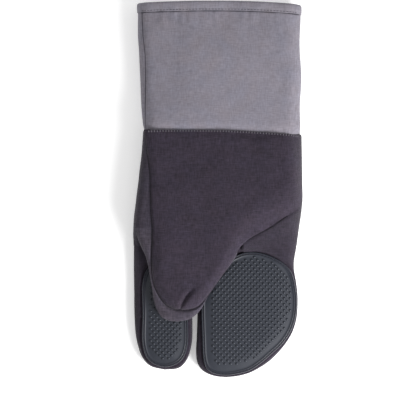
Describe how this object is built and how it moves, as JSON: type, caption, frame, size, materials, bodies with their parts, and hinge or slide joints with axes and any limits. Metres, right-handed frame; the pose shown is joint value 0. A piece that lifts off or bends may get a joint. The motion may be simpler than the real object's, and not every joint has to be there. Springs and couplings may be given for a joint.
{
  "type": "oven mitt",
  "caption": "Long padded oven mitt for the right hand, with a gauntlet cuff, a folding thumb, a separate index finger and raised silicone grip pads.",
  "frame": {"origin": "middle of the mitt's box in X and Y, on the surface that it lies on", "axes": "+Y from the fingertips to the cuff's mouth, +Z out of the palm, +X towards the little finger"},
  "size_m": [0.179, 0.396, 0.0363],
  "materials": {
    "grey_cloth": "matt",
    "hem_cloth": "matt",
    "dark_cloth": "matt",
    "wadding": "matt",
    "lining": "matt",
    "silicone": "satin",
    "thread": "matt"
  },
  "bodies": {
    "hand": {"hand_front_panel": "dark_cloth", "hand_palm_panel": "dark_cloth", "hand_back_panel": "dark_cloth", "hand_palm_wadding": "wadding", "hand_back_wadding": "wadding", "hand_lining": "lining", "wrist_stitching": "thread", "wrist_fold": "grey_cloth", "thumb_fold": "dark_cloth", "index_fold": "dark_cloth", "fingers_fold": "dark_cloth"},
    "cuff": {"cuff_front_panel": "grey_cloth", "cuff_back_panel": "grey_cloth", "cuff_felt": "wadding", "cuff_lining": "lining", "hem_binding": "hem_cloth", "hem_stitching": "thread"},
    "thumb": {"thumb_outer_panel": "dark_cloth", "thumb_inner_panel": "dark_cloth", "thumb_wadding": "wadding", "thumb_lining": "lining", "thumb_pad": "silicone"},
    "index_finger": {"index_palm_panel": "dark_cloth", "index_back_panel": "dark_cloth", "index_wadding": "wadding", "index_lining": "lining", "index_pad": "silicone", "index_pad_stitching": "thread"},
    "fingers": {"fingers_palm_panel": "dark_cloth", "fingers_back_panel": "dark_cloth", "fingers_wadding": "wadding", "fingers_lining": "lining", "fingers_pad": "silicone", "fingers_pad_stitching": "thread"}
  },
  "joints": [
    {"name": "wrist_bend", "type": "hinge", "parent": "hand", "child": "cuff", "pos_m": [0, 0.068, 0.017], "axis": [1, 0, 0], "range_deg": [-20, 30], "deforming": ["wrist_fold"]},
    {"name": "thumb_open", "type": "hinge", "parent": "hand", "child": "thumb", "pos_m": [-0.0895, -0.045, 0.02], "axis": [-0.9945, 0.1045, 0], "range_deg": [0, 75], "deforming": ["thumb_fold"]},
    {"name": "index_bend", "type": "hinge", "parent": "hand", "child": "index_finger", "pos_m": [-0.058, -0.06, 0.008], "axis": [1, 0, 0], "range_deg": [0, 15], "deforming": ["index_fold"]},
    {"name": "fingers_bend", "type": "hinge", "parent": "hand", "child": "fingers", "pos_m": [0.03, -0.06, 0.008], "axis": [1, 0, 0], "range_deg": [0, 15], "deforming": ["fingers_fold"]}
  ]
}
